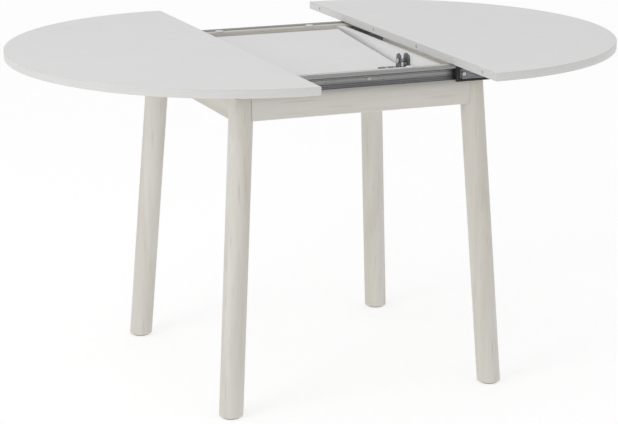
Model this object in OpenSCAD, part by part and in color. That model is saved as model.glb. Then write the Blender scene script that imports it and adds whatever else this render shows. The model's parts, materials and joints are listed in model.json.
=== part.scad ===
// Extendable round dining table: two half-round tops on telescopic runners,
// with a folding leaf stored in the well between them.
// Origin: on the floor, under the middle of the opened table. +X runs along the runners.

/* [Table] */
// Diameter of the closed round top
top_d = 1000; // [1000:10:1300]
// Height of the top's upper face above the floor
table_h = 745; // [600:5:900]
// How far the left half stands open from the middle
left_open = 185; // [178:1:206]
// How far the right half stands open from the middle
right_open = 206; // [184:1:206]

/* [Top halves] */
// Thickness of the top halves and of the leaf
top_t = 18; // [15:1:25]
// Diameter of the dowel pins in the mating edges
dowel_d = 7.6; // [5:0.2:9]
// How far a dowel pin stands out of its edge
dowel_out = 6; // [4:0.5:6]
// How far a dowel pin is sunk in its board
dowel_in = 20; // [12:1:30]
// Distance of the outer dowels from the middle
dowel_outer_y = 437; // [300:1:440]
// How far the inner dowels lie inside the leaf's pivots
dowel_before = 9; // [8:0.5:20]
// Clearance round a dowel pin in its hole, on the radius
dowel_gap = 0.3; // [0.1:0.1:0.5]

/* [Legs and frame] */
// Diameter of a leg
leg_d = 52; // [40:1:60]
// How far the foot's middle stands outside the leg's middle at the apron's top
leg_splay = 44; // [10:1:60]
// Room between the ends of the level stored leaf and the aprons
leaf_room = 20; // [18:1:40]
// Thickness of an apron board
apron_t = 20; // [16:1:22]
// Height of an apron board
apron_h = 88; // [80:1:110]
// Gap between the apron's top and the underside of the top
apron_drop = 3; // [3:0.5:6]
// Radius of the eased lower edges of an apron
apron_round = 3; // [1:0.5:6]
// Width of the shadow joint between an apron and a leg
joint_gap = 0.8; // [0.1:0.1:1.5]
// Thickness of the felt glide under each foot
glide_t = 3; // [2:0.5:6]
// Diameter of the felt glide under each foot
glide_d = 40; // [25:1:48]
// Reach of a corner plate along each apron
corner_reach = 69; // [60:1:70]
// Height of a corner plate
corner_h = 58; // [40:1:70]
// Thickness of the corner plates
corner_t = 2.5; // [1.5:0.5:4]
// Diameter of the hanger bolts in the legs
leg_bolt_d = 8; // [6:1:10]

/* [Runners] */
// How far a fixed rail stands past the frame at each end
rail_over = 5; // [0:1:20]
// Height of a fixed rail
rail_h = 35; // [30:1:45]
// Depth of a fixed rail, out from the apron
rail_depth = 19; // [15:1:25]
// Thickness of the rail steel
rail_t = 1.5; // [1:0.25:2.5]
// Height of the lips that close a fixed rail's mouth
rail_lip = 5; // [3:0.5:7]
// Gap between a rail's top and the underside of the top
rail_drop = 1; // [0.5:0.5:3]
// Length of a moving rail
slide_len = 100; // [92:1:280]
// Play of the moving rail in the fixed rail's mouth
slide_gap = 2; // [1:0.25:3]
// Length of the black end block on a moving rail
block_len = 9; // [6:1:14]
// Distance from a top's straight edge to its end blocks
block_set = 3; // [2:0.5:6]
// Play between an end block and the rail round it
block_gap = 0.5; // [0.3:0.1:1]
// Width of the flange that carries a top
angle_w = 28; // [20:1:40]
// Thickness of the carrying angles
angle_t = 2; // [1.5:0.5:3]

/* [Leaf] */
// Width of the leaf, which is what it adds to the table's length
leaf_w = 350; // [300:1:356]
// Gap between the two leaf halves
leaf_gap = 2; // [1.8:0.1:3]
// Depth of the pivot under the underside of the top
pivot_drop = 18.5; // [16:0.5:20]
// Slope of the stored leaf, its near end lower
leaf_tilt = 4.3; // [3.5:0.1:4.6]
// Distance of the hinge pins from a leaf half's face and end
hinge_in = 4; // [3.5:0.1:4]
// Diameter of the hinge pins
hinge_pin_d = 3; // [2:0.5:3.5]
// Diameter of the leaf's pivot pins
pivot_pin_d = 8; // [5:0.5:10]
// Play of a pin in its hole, on the radius
pin_play = 0.15; // [0.1:0.05:0.3]
// Distance of the leaf's own lug from its edge
lug_in = 15.5; // [12:0.5:20]
// Half the width of a pivot lug, and the radius of its rounded end
lug_r = 11.5; // [9:0.5:12]
// How far the middle of a lug's rounded end lies beyond the pin
lug_over = 5; // [0:0.5:5]

/* [Carrier boards] */
// Thickness of the carrier boards, which stand on edge beside the leaf
board_t = 18; // [14:1:20]
// Height of the carrier boards
board_h = 80; // [65:1:82]
// Top of the carrier boards under the underside of the top
board_drop = 6; // [4:1:10]
// Gap between the leaf's edge and a carrier board
board_gap = 7; // [6.5:0.5:10]

/* [Hidden] */
$fn = 64;
EPS = 0.1;
BIG = 2000;
ROUND_FN = 180;

// the leg frame's middle: the opened tops are centred on the origin
frame_x = (left_open - right_open) / 2;
top_r = top_d / 2;
under_z = table_h - top_t;
apron_top = under_z - apron_drop;
apron_z = apron_top - apron_h;
// a leaf half turns about a quarter of its length, so the stored leaf lies in the frame's middle
pivot_y = top_r / 4;
dowel_inner_y = pivot_y - dowel_before;
apron_in = top_r / 2 + leaf_room;
frame_half = apron_in + apron_t;
rail_len = 2 * (frame_half + rail_over);
leg_r = leg_d / 2;
leg_at = frame_half - leg_r + 0.5;
leg_tilt = atan(sqrt(2) * leg_splay / apron_top);
rail_top = under_z - rail_drop;
rail_z = rail_top - rail_h;
rail_mid = rail_z + rail_h / 2;
rail_out = frame_half + rail_depth;
slide_h = rail_h - 2 * (rail_lip + slide_gap) - 1;
slide_y = rail_out + 0.8;
slide_in = rail_t + 2;
angle_y = slide_y + rail_t;
dowel_z = under_z + top_t / 2;
dowel_ys = [dowel_outer_y, dowel_inner_y, -dowel_inner_y, -dowel_outer_y];
dowel_seat = 0.02;
board_z = under_z - board_drop - board_h;
board_x = leaf_w / 2 + board_gap;
board_out = board_x + board_t;
cleat_w = 20;
cleat_h = 17;
cleat_len = 30;
cleat_z = apron_top - 6 - corner_h - 1 - cleat_h;
cleat_side_y = apron_in - cleat_len + 8;
cleat_side_z = cleat_z + 5;
cleat_end_x = board_out + cleat_w - 7;
cleat_end_z = cleat_z + 12;
pivot_z = under_z - pivot_drop;
strap_t = 2.5;
strap_w = 30;
strap_len = 56;
strap_set = 2.5;
strap_screw_ins = [24, 44];
leaf_clear = 1.2;
lug_x = leaf_w / 2 - lug_in - strap_t / 2;
bracket_x = leaf_w / 2 + leaf_clear;
bracket_t = 3;
pin_sweep = norm([pivot_y - dowel_inner_y, dowel_z - pivot_z]) - dowel_d / 2 - 1.5;
lug_down = sqrt(pow(pin_sweep, 2) - pow(lug_r, 2));
bracket_screw_ys = [-6, 6];
bracket_screw_z = pivot_z - 13;
hinge_z = table_h - hinge_in;
hinge_low = table_h - 2 * hinge_in;
hinge_y = leaf_gap / 2 + hinge_in;
link_t = 2.5;
link_r = 3;
link_play = 0.4;
hinge_plate_t = 2.5;
hinge_plate_l = 46;
pin_len = 9;
screw_d = 4;
screw_head_d = 8;
screw_head_t = 2;
pad_x = 114;
rail_screw_xs = [-225, -120, 12, 225];
rail_hole_xs = [-195, -90, 43, 195];
angle_screw_xs = [4, 68];
angle_hole_xs = [40];

// Places its children on the leg frame
module on_frame() translate([frame_x, 0, 0]) children();

// Places its children on the left half, whose straight edge is at x = 0 there
module on_left() translate([frame_x - left_open, 0, 0]) mirror([1, 0, 0]) children();

// Places its children on the right half, whose straight edge is at x = 0 there
module on_right() translate([frame_x + right_open, 0, 0]) children();

// Takes the raised upper leaf half down to its stored place, upside down
module stored()
    on_frame()
    translate([0, -pivot_y, pivot_z])
    rotate([leaf_tilt - 180, 0, 0])
    translate([0, pivot_y, -pivot_z])
    children();

// Folds the opened lower leaf half onto the upper one, face to face
module folded()
    stored()
    translate([0, 0, table_h + leaf_gap / 2])
    rotate([180, 0, 0])
    translate([0, 0, -table_h - leaf_gap / 2])
    children();

// Stands a link on end over the upper half's hinge pin, as it is when folded
module link_folded()
    stored()
    translate([0, -hinge_y, hinge_z])
    rotate([90, 0, 0])
    translate([0, hinge_y, -hinge_z])
    children();

// A cylinder along X that starts at x = 0
module rod_x(d, length) rotate([0, 90, 0]) cylinder(d = d, h = length);

// A countersunk-looking pan screw: its head on z = 0, its shank going down
module screw(shank, d = screw_d, head = screw_head_d) {
    cylinder(d = head, h = screw_head_t);
    translate([0, 0, -shank]) cylinder(d = d, h = shank + EPS);
}

// The leg's own axis, with its top at the apron's top
module leg_axis(sx, sy)
    translate([sx * leg_at, sy * leg_at, apron_top])
    rotate(a = leg_tilt, v = [sy, -sx, 0])
    children();

module leg_solid(sx, sy, grow = 0)
    leg_axis(sx, sy) translate([0, 0, -BIG / 2]) cylinder(r = leg_r + grow, h = BIG / 2 + leg_d);

// A splayed round leg, flat on the floor, with flats for the runner and the apron's top
module leg(sx, sy) {
    color("#d9d5cd") on_frame() difference() {
        intersection() {
            leg_solid(sx, sy);
            translate([-BIG / 2, -BIG / 2, glide_t]) cube([BIG, BIG, apron_top - glide_t]);
        }
        translate([-BIG / 2, sy > 0 ? frame_half : -frame_half - leg_d, rail_z - 2])
            cube([BIG, leg_d, leg_d * 2]);
        corner_bolt_line(sx, sy) cylinder(d = leg_bolt_d + 0.1, h = 40);
    }
}
module leg_front_left() leg(-1, -1);
module leg_front_right() leg(1, -1);
module leg_back_left() leg(-1, 1);
module leg_back_right() leg(1, 1);

module foot_glides()
    color("#6e6a63") on_frame() for (sx = [-1, 1], sy = [-1, 1])
        translate([sx * (leg_at + leg_splay), sy * (leg_at + leg_splay), 0])
        cylinder(d = glide_d, h = glide_t);

// An apron board along X on the +Y side, cut round its two legs
module apron_solid(sy) {
    color("#c9c2b4") on_frame() mirror([0, sy > 0 ? 0 : 1, 0]) difference() {
        translate([-leg_at, 0, 0]) rotate([90, 0, 90]) linear_extrude(2 * leg_at) difference() {
            translate([apron_in, apron_z]) square([apron_t, apron_h]);
            translate([frame_half, apron_z]) corner_easing();
        }
        for (sx = [-1, 1]) leg_solid(sx, 1, joint_gap);
        for (x = rail_screw_xs) translate([x, frame_half + EPS, rail_mid]) rotate([90, 0, 0])
            cylinder(d = screw_d + 0.1, h = 14 + EPS);
        for (sx = [-1, 1]) translate([sx * cleat_end_x, apron_in - EPS, cleat_end_z]) rotate([-90, 0, 0])
            cylinder(d = screw_d + 0.1, h = 12);
    }
}

// What a rounded lower edge takes off a board's section
module corner_easing() difference() {
    translate([-apron_round, -EPS]) square([apron_round + EPS, apron_round + EPS]);
    translate([-apron_round, apron_round]) circle(r = apron_round);
}
module apron_front() apron_solid(-1);
module apron_back() apron_solid(1);

// An apron board along Y on one side
module side_apron(sx) {
    color("#c9c2b4") on_frame() mirror([sx > 0 ? 0 : 1, 0, 0]) difference() {
        translate([0, leg_at, 0]) rotate([90, 0, 0]) linear_extrude(2 * leg_at) difference() {
            translate([apron_in, apron_z]) square([apron_t, apron_h]);
            translate([frame_half, apron_z]) corner_easing();
        }
        for (sy = [-1, 1]) leg_solid(1, sy, joint_gap);
    }
}
module apron_left() side_apron(-1);
module apron_right() side_apron(1);

corner_z = apron_top - 6 - corner_h;
corner_line = 2 * apron_in - corner_reach;
corner_flange = 22;
corner_mid = corner_line / 2;
corner_screw_in = 14;
corner_screw_zs = [14, corner_h - 14];

// The hanger bolt's line: from the corner plate's middle out to the leg
module corner_bolt_line(sx, sy)
    translate([sx * corner_mid, sy * corner_mid, corner_z + corner_h / 2])
    rotate([0, 90, atan2(sy, sx)]) translate([0, 0, corner_bolt_start]) children();
corner_bolt_start = 14;

// A pressed steel plate across one corner, with two swaged ribs and a flange on each apron
module corner_plate(sx, sy) mirror([sx > 0 ? 0 : 1, 0, 0]) mirror([0, sy > 0 ? 0 : 1, 0]) {
    difference() {
        union() {
            translate([0, 0, corner_z]) linear_extrude(corner_h) polygon([
                [apron_in - corner_reach, apron_in - 0.05],
                [apron_in - corner_reach + corner_flange, apron_in - 0.05],
                [apron_in - corner_reach + corner_flange, apron_in - corner_t],
                [apron_in - corner_reach + 2 * corner_t, apron_in - corner_t],
                [apron_in - corner_t, apron_in - corner_reach + 2 * corner_t],
                [apron_in - corner_t, apron_in - corner_reach + corner_flange],
                [apron_in - 0.05, apron_in - corner_reach + corner_flange],
                [apron_in - 0.05, apron_in - corner_reach]
            ]);
            for (z = [12, corner_h - 12]) translate([corner_mid, corner_mid, corner_z + z])
                rotate([0, 90, 45]) translate([0, 0, -2]) cube([5, corner_reach * 0.9, 4], center = true);
        }
        translate([corner_mid, corner_mid, corner_z + corner_h / 2]) rotate([0, 90, 45])
            translate([0, 0, -20]) cylinder(d = leg_bolt_d + 0.6, h = 40);
        for (z = corner_screw_zs) {
            translate([apron_in - corner_reach + corner_screw_in, apron_in + EPS, corner_z + z])
                rotate([90, 0, 0]) cylinder(d = screw_d + 0.1, h = 10);
            translate([apron_in - 10 + EPS, apron_in - corner_reach + corner_screw_in, corner_z + z])
                rod_x(screw_d + 0.1, 10);
        }
    }
}
module corner_plates()
    color("#8f9293") on_frame() for (sx = [-1, 1], sy = [-1, 1]) corner_plate(sx, sy);

bolt_len = 48;
module leg_bolts()
    color("#9a9c9d") on_frame() for (sx = [-1, 1], sy = [-1, 1]) corner_bolt_line(sx, sy)
        translate([0, 0, -corner_bolt_start - 12]) cylinder(d = leg_bolt_d, h = bolt_len);

nut_h = 6.5;
module leg_nuts()
    color("#a5a7a8") on_frame() for (sx = [-1, 1], sy = [-1, 1]) corner_bolt_line(sx, sy)
        translate([0, 0, -corner_bolt_start - nut_h - 0.05]) difference() {
            cylinder(d = 15, h = nut_h, $fn = 6);
            translate([0, 0, -EPS]) cylinder(d = leg_bolt_d + 0.1, h = nut_h + 2 * EPS);
        }

module corner_screws()
    color("#b9bbbc") on_frame() for (sx = [-1, 1], sy = [-1, 1])
        mirror([sx > 0 ? 0 : 1, 0, 0]) mirror([0, sy > 0 ? 0 : 1, 0]) for (z = corner_screw_zs) {
            translate([apron_in - corner_reach + corner_screw_in, apron_in - corner_t - 0.05, corner_z + z])
                rotate([90, 0, 0]) screw(corner_t);
            translate([apron_in - corner_t - 0.05, apron_in - corner_reach + corner_screw_in, corner_z + z])
                rotate([0, -90, 0]) screw(corner_t);
        }

// Section of a fixed rail: a channel with its mouth away from the apron, in (y, z) from its back
module fixed_section() difference() {
    square([rail_depth, rail_h]);
    translate([rail_t, rail_t]) square([rail_depth - 2 * rail_t, rail_h - 2 * rail_t]);
    translate([rail_depth - 2 * rail_t, rail_lip]) square([3 * rail_t, rail_h - 2 * rail_lip]);
}

// A fixed rail on the +Y apron, with its screw holes and spare holes
module fixed_rail(sy) {
    color("#9b9d9c") on_frame() mirror([0, sy > 0 ? 0 : 1, 0]) difference() {
        translate([-rail_len / 2, frame_half + 0.05, rail_z]) rotate([90, 0, 90])
            linear_extrude(rail_len) fixed_section();
        for (x = concat(rail_screw_xs, rail_hole_xs)) translate([x, frame_half + 5, rail_mid])
            rotate([90, 0, 0]) cylinder(d = screw_d + 0.6, h = 10);
    }
}
module fixed_rail_front() fixed_rail(-1);
module fixed_rail_back() fixed_rail(1);

module rail_screws()
    color("#c9cbcb") on_frame() for (sy = [-1, 1], x = rail_screw_xs)
        mirror([0, sy > 0 ? 0 : 1, 0]) translate([x, frame_half + rail_t + 0.1, rail_mid])
            rotate([-90, 0, 0]) screw(14);

// Section of a moving rail, in (y, z) from the fixed rail's back: a channel facing the other way
module slide_section() difference() {
    translate([slide_in, (rail_h - slide_h) / 2])
        square([slide_y + rail_t - frame_half - slide_in, slide_h]);
    translate([slide_in - EPS, (rail_h - slide_h) / 2 + rail_t])
        square([slide_y - frame_half - slide_in + EPS, slide_h - 2 * rail_t]);
}

guide_len = 4;
// Black guides that line the fixed rails' ends round the moving rails
module rail_guides()
    color("#26282a") on_frame() for (sx = [-1, 1], sy = [-1, 1])
        mirror([sx > 0 ? 0 : 1, 0, 0]) mirror([0, sy > 0 ? 0 : 1, 0])
        translate([rail_len / 2 - guide_len, frame_half, rail_z]) rotate([90, 0, 90])
        linear_extrude(guide_len) difference() {
            translate([rail_t + 0.1, rail_t + 0.05])
                square([rail_depth - 2 * rail_t - 0.2, rail_h - 2 * rail_t - 0.1]);
            translate([rail_t + 1, (rail_h - slide_h) / 2 - block_gap])
                square([rail_depth, slide_h + 2 * block_gap]);
        }

pad_t = 2.6;
module support_pads()
    color("#f2f2f0") on_frame() for (sx = [-1, 1], sy = [-1, 1])
        translate([sx * pad_x, sy * (apron_in + apron_t / 2), apron_top])
        cylinder(d = apron_t - 1, h = pad_t);

// A carrier board on edge beside the leaf, from one apron to the other
module carrier_board(sx) {
    color("#eceae5") on_frame() mirror([sx > 0 ? 0 : 1, 0, 0]) difference() {
        translate([board_x, 0.05 - apron_in, board_z]) cube([board_t, 2 * apron_in - 0.1, board_h]);
        for (y = bracket_screw_ys) translate([board_x - EPS, y - pivot_y, bracket_screw_z])
            rod_x(screw_d + 0.1, board_t + 2 * EPS);
        for (sy = [-1, 1]) translate([board_out - 12, sy * cleat_side_y, cleat_side_z])
            rod_x(screw_d + 0.1, 12 + EPS);
    }
}
module carrier_board_left() carrier_board(-1);
module carrier_board_right() carrier_board(1);

// Cleats in the corners between the carrier boards and the aprons
module carrier_cleats()
    color("#c9b98f") on_frame() for (sx = [-1, 1], sy = [-1, 1])
        mirror([sx > 0 ? 0 : 1, 0, 0]) mirror([0, sy > 0 ? 0 : 1, 0]) difference() {
            translate([board_out + 0.05, apron_in - 0.05 - cleat_len, cleat_z])
                cube([cleat_w, cleat_len, cleat_h]);
            translate([board_out, cleat_side_y, cleat_side_z]) rod_x(screw_d + 0.1, cleat_w + 1);
            translate([cleat_end_x, apron_in, cleat_end_z]) rotate([90, 0, 0])
                cylinder(d = screw_d + 0.1, h = cleat_len + 1);
        }

module cleat_screws()
    color("#b9bbbc") on_frame() for (sx = [-1, 1], sy = [-1, 1])
        mirror([sx > 0 ? 0 : 1, 0, 0]) mirror([0, sy > 0 ? 0 : 1, 0]) {
            translate([board_out + cleat_w + 0.1, cleat_side_y, cleat_side_z]) rotate([0, 90, 0])
                screw(cleat_w + 11);
            translate([cleat_end_x, apron_in - cleat_len - 0.1, cleat_end_z]) rotate([90, 0, 0])
                screw(cleat_len + 11);
        }

// Outline of a pivot lug that stands on z = foot_z, in (y, z) with the pin on z = pivot_z
module lug_outline(foot_z) {
    translate([-lug_r, foot_z]) square([2 * lug_r, pivot_z + lug_over - foot_z]);
    translate([0, pivot_z + lug_over]) circle(r = lug_r);
}

// The frame's half of a leaf pivot: a lug beside the leaf, on a boss against the carrier board
module pivot_bracket(sx) {
    color("#b4b8ba") on_frame() mirror([sx > 0 ? 0 : 1, 0, 0]) translate([bracket_x, -pivot_y, 0]) difference() {
        union() {
            rotate([90, 0, 90]) linear_extrude(bracket_t) lug_outline(pivot_z - lug_down);
            translate([bracket_t - EPS, -lug_r, pivot_z - lug_down])
                cube([board_x - 0.05 - bracket_x - bracket_t + EPS, 2 * lug_r, lug_down + lug_over]);
        }
        translate([-1, 0, pivot_z]) rod_x(pivot_pin_d + 0.04, board_x - bracket_x + 2);
        for (y = bracket_screw_ys) translate([1, y, bracket_screw_z])
            rod_x(screw_d + 0.1, board_x - bracket_x);
    }
}
module pivot_bracket_left() pivot_bracket(-1);
module pivot_bracket_right() pivot_bracket(1);

pin_head_t = 2;
pin_head_r = 6;
pin_slack = 0.5;
pin_end = 1.5;
// Headed pins, fast in the frame's lugs, on which the leaf turns
module pivot_pins()
    color("#c4c7c8") on_frame() for (sx = [-1, 1]) mirror([sx > 0 ? 0 : 1, 0, 0])
        translate([lug_x - pin_slack - pin_head_t, -pivot_y, pivot_z]) {
            rod_x(2 * pin_head_r, pin_head_t);
            rod_x(pivot_pin_d, bracket_x + bracket_t + pin_end - lug_x + pin_slack + pin_head_t);
        }

module pivot_bracket_screws()
    color("#c9cbcb") on_frame() for (sx = [-1, 1], y = bracket_screw_ys) mirror([sx > 0 ? 0 : 1, 0, 0])
        translate([board_out + 0.1, y - pivot_y, bracket_screw_z]) rotate([0, 90, 0])
        screw(board_out - bracket_x - 2);

// A half-round board whose straight edge is on x = 0
module half_top() translate([0, 0, under_z]) linear_extrude(top_t) intersection() {
    circle(r = top_r, $fn = ROUND_FN);
    translate([0, -top_r]) square([top_r, top_d]);
}

flange_step = 14;
flange_screw_y = angle_y + angle_w * 0.6;
// Holes for the screws that fix the carrying angles
module flange_holes() for (sy = [-1, 1], x = angle_screw_xs)
    translate([angle_start + x + flange_step, sy * flange_screw_y, under_z - EPS])
        cylinder(d = screw_d + 0.1, h = 12);

module top_left() color("#f4f4f2") on_left() difference() {
    half_top();
    for (y = dowel_ys) translate([-EPS, y, dowel_z]) rod_x(dowel_d + dowel_seat, dowel_in + EPS);
    flange_holes();
}

module left_dowels() color("#cfd1d1") on_left() for (y = dowel_ys)
    translate([-dowel_out, y, dowel_z]) rod_x(dowel_d, dowel_out + dowel_in - 1);

module top_right() color("#f4f4f2") on_right() difference() {
    half_top();
    for (y = dowel_ys) translate([-EPS, y, dowel_z]) rod_x(dowel_d + 2 * dowel_gap, dowel_in + EPS);
    flange_holes();
}

slide_start = block_set + block_len;
block_back = rail_t + screw_head_t + 0.6;
angle_start = slide_start + 4;
angle_len = slide_len - 8;
cap_t = 3;
angle_up = rail_lip + 1;

// Moving rails of one half, front and back
module slides() for (sy = [-1, 1]) mirror([0, sy > 0 ? 0 : 1, 0]) difference() {
    translate([slide_start, frame_half, rail_z]) rotate([90, 0, 90]) linear_extrude(slide_len)
        slide_section();
    for (x = angle_screw_xs) translate([angle_start + x, slide_y + 3, rail_mid]) rotate([90, 0, 0])
        cylinder(d = screw_d + 0.1, h = 8);
}
module left_slides() color("#a9abab") on_left() slides();
module right_slides() color("#a9abab") on_right() slides();

// Black end blocks that run inside the fixed rails and cap their mouths, each with a long tail that
// keeps the carrying angle off the fixed rail's lower lip
module end_blocks() for (sy = [-1, 1]) mirror([0, sy > 0 ? 0 : 1, 0])
    translate([block_set, frame_half, rail_z]) rotate([90, 0, 90]) {
        linear_extrude(block_len - 0.05) union() {
            translate([block_back, rail_t + block_gap])
                square([rail_depth - rail_t - block_gap - block_back, rail_h - 2 * rail_t - 2 * block_gap]);
            translate([block_back, rail_lip + block_gap])
                square([rail_depth + 1 - block_back, rail_h - 2 * rail_lip - 2 * block_gap]);
            translate([rail_depth + block_gap, block_gap]) square([cap_t, rail_h - 2 * block_gap]);
        }
        linear_extrude(block_len + slide_len)
            translate([rail_depth + block_gap, block_gap]) square([cap_t, rail_lip]);
    }
module left_end_blocks() color("#1d1e20") on_left() end_blocks();
module right_end_blocks() color("#1d1e20") on_right() end_blocks();

angle_h = under_z - rail_z - angle_up - 0.05;
angle_hole_d = 5;
// Carrying angles: one leg on the moving rail, the other under the top
module angles() for (sy = [-1, 1]) mirror([0, sy > 0 ? 0 : 1, 0]) difference() {
    translate([angle_start, angle_y + 0.05, rail_z + angle_up]) rotate([90, 0, 90])
        linear_extrude(angle_len) union() {
            square([angle_t, angle_h]);
            translate([0, angle_h - angle_t]) square([angle_w, angle_t]);
        }
    for (x = angle_screw_xs) {
        translate([angle_start + x + flange_step, flange_screw_y, under_z - 5])
            cylinder(d = screw_d + 0.6, h = 6);
        translate([angle_start + x, angle_y + 5, rail_mid]) rotate([90, 0, 0])
            cylinder(d = screw_d + 0.6, h = 6);
    }
    for (x = angle_hole_xs) translate([angle_start + x, angle_y + 5, rail_mid]) rotate([90, 0, 0])
        cylinder(d = angle_hole_d, h = 6);
}
module left_angles() color("#9da0a1") on_left() angles();
module right_angles() color("#9da0a1") on_right() angles();

// Screws through the angles: along Y into the moving rail, and up into the top
module angle_screws() for (sy = [-1, 1]) mirror([0, sy > 0 ? 0 : 1, 0]) for (x = angle_screw_xs) {
    translate([angle_start + x, angle_y + angle_t + 0.1, rail_mid]) rotate([-90, 0, 0]) screw(6);
    translate([angle_start + x + flange_step, flange_screw_y, under_z - angle_t - 0.15])
        rotate([180, 0, 0]) screw(12);
}
module left_angle_screws() color("#c9cbcb") on_left() angle_screws();
module right_angle_screws() color("#c9cbcb") on_right() angle_screws();

// One leaf half as it lies when raised, on the -Y side, with its edge holes and hinge recesses
module leaf_half(strap_holes) difference() {
    translate([-leaf_w / 2, -top_r, under_z]) cube([leaf_w, top_r - leaf_gap / 2, top_t]);
    for (y = [dowel_inner_y, dowel_outer_y]) {
        translate([-leaf_w / 2 - EPS, -y, dowel_z]) rod_x(dowel_d + 2 * dowel_gap, dowel_out + 8);
        translate([leaf_w / 2 - dowel_in, -y, dowel_z]) rod_x(dowel_d + dowel_seat, dowel_in + EPS);
    }
    for (sx = [-1, 1]) mirror([sx > 0 ? 0 : 1, 0, 0]) {
        translate([leaf_w / 2 - hinge_depth, -leaf_gap / 2 - hinge_plate_l, hinge_low])
            cube([hinge_depth + EPS, hinge_plate_l + leaf_gap, 2 * hinge_in + EPS]);
        translate([leaf_w / 2 - hinge_depth - pin_len, -hinge_y, hinge_z])
            rod_x(hinge_pin_d + 0.1, pin_len + 1);
        for (y = hinge_screw_ys) translate([leaf_w / 2 - hinge_depth - 12, -leaf_gap / 2 - y, hinge_z])
            rod_x(3, 13);
        if (strap_holes) for (x = strap_screw_ins) translate([leaf_w / 2 - x, -pivot_y, under_z - EPS])
            cylinder(d = screw_d + 0.1, h = 12);
    }
}
hinge_depth = hinge_plate_t + link_t + 2 * link_play;
hinge_screw_ys = [20, 36];

module leaf_upper() color("#f3f3f1") stored() leaf_half(true);
module leaf_lower() color("#f3f3f1") folded() mirror([0, 1, 0]) leaf_half(false);

module half_dowels() for (y = [dowel_inner_y, dowel_outer_y])
    translate([leaf_w / 2 - dowel_in + 1, -y, dowel_z]) rod_x(dowel_d, dowel_in - 1 + dowel_out);
module upper_dowels() color("#cfd1d1") stored() half_dowels();
module lower_dowels() color("#cfd1d1") folded() mirror([0, 1, 0]) half_dowels();

// The leaf's half of a pivot: a strap on its underside, with a lug turned away from the leaf
module leaf_strap(sx) {
    color("#b4b8ba") stored() mirror([sx > 0 ? 0 : 1, 0, 0]) translate([0, -pivot_y, 0]) difference() {
        union() {
            translate([leaf_w / 2 - strap_set - strap_len, -strap_w / 2, under_z - strap_t - 0.05])
                cube([strap_len, strap_w, strap_t]);
            translate([lug_x, 0, 2 * pivot_z]) mirror([0, 0, 1]) rotate([90, 0, 90])
                linear_extrude(strap_t) lug_outline(2 * pivot_z - under_z + 0.05);
        }
        translate([lug_x - 1, 0, pivot_z]) rod_x(pivot_pin_d + 2 * pin_play, strap_t + 2);
        for (x = strap_screw_ins) translate([leaf_w / 2 - x, 0, under_z - 8])
            cylinder(d = screw_d + 0.4, h = 9);
    }
}
module leaf_strap_left() leaf_strap(-1);
module leaf_strap_right() leaf_strap(1);

module strap_screws()
    color("#c9cbcb") stored() for (sx = [-1, 1], x = strap_screw_ins) mirror([sx > 0 ? 0 : 1, 0, 0])
        translate([leaf_w / 2 - x, -pivot_y, under_z - strap_t - 0.1]) rotate([180, 0, 0])
        screw(strap_t + 11);

// Plates let into a half's edges by the seam, each with a fixed pin for its link
module hinge_plates() for (sx = [-1, 1]) mirror([sx > 0 ? 0 : 1, 0, 0]) difference() {
    union() {
        translate([leaf_w / 2 - hinge_depth + 0.02, -leaf_gap / 2 - hinge_plate_l + 0.1, hinge_low + 0.05])
            cube([hinge_plate_t, hinge_plate_l - 0.1, 2 * hinge_in - 0.4]);
        translate([leaf_w / 2 - hinge_depth - pin_len + 1, -hinge_y, hinge_z])
            rod_x(hinge_pin_d, hinge_depth + pin_len - 1.4);
    }
    for (y = hinge_screw_ys) translate([leaf_w / 2 - hinge_depth - 1, -leaf_gap / 2 - y, hinge_z])
        rod_x(3.2, 6);
}
module upper_hinge_plates() color("#b7a36a") stored() hinge_plates();
module lower_hinge_plates() color("#b7a36a") folded() mirror([0, 1, 0]) hinge_plates();

module hinge_screws() for (sx = [-1, 1], y = hinge_screw_ys) mirror([sx > 0 ? 0 : 1, 0, 0])
    translate([leaf_w / 2 - hinge_depth + hinge_plate_t + 0.1, -leaf_gap / 2 - y, hinge_z])
    rotate([0, 90, 0]) translate([0, 0, -12]) {
        cylinder(d = 2.9, h = 12.2);
        translate([0, 0, 12]) cylinder(d = 5.5, h = 1.5);
    }
module hinge_screws_upper() color("#c9b877") stored() hinge_screws();
module hinge_screws_lower() color("#c9b877") folded() mirror([0, 1, 0]) hinge_screws();

// Short links that join the two halves' pins, so that their faces can meet
module hinge_links() color("#b7a36a") link_folded() for (sx = [-1, 1]) mirror([sx > 0 ? 0 : 1, 0, 0])
    translate([leaf_w / 2 - link_t - link_play, 0, hinge_z]) rotate([90, 0, 90])
    linear_extrude(link_t) difference() {
        union() {
            for (y = [-hinge_y, hinge_y]) translate([y, 0]) circle(r = link_r);
            translate([-hinge_y, -link_r]) square([2 * hinge_y, 2 * link_r]);
        }
        for (y = [-hinge_y, hinge_y]) translate([y, 0]) circle(r = hinge_pin_d / 2 + pin_play);
    }

leg_front_left();
leg_front_right();
leg_back_left();
leg_back_right();
foot_glides();
apron_front();
apron_back();
apron_left();
apron_right();
corner_plates();
leg_bolts();
leg_nuts();
corner_screws();
fixed_rail_front();
fixed_rail_back();
rail_screws();
rail_guides();
support_pads();
carrier_board_left();
carrier_board_right();
carrier_cleats();
cleat_screws();
pivot_bracket_left();
pivot_bracket_right();
pivot_pins();
pivot_bracket_screws();
top_left();
left_dowels();
left_slides();
left_end_blocks();
left_angles();
left_angle_screws();
top_right();
right_slides();
right_end_blocks();
right_angles();
right_angle_screws();
leaf_upper();
upper_dowels();
leaf_strap_left();
leaf_strap_right();
strap_screws();
upper_hinge_plates();
hinge_links();
leaf_lower();
lower_dowels();
lower_hinge_plates();
hinge_screws_upper();
hinge_screws_lower();
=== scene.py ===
"""Looks of an extendable round dining table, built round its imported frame.

Every piece is in metres in the frame's own space: +X along the runners, +Y away from the
front, +Z up, with the origin on the floor. Sizes below are written as millimetres times MM.
"""

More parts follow.
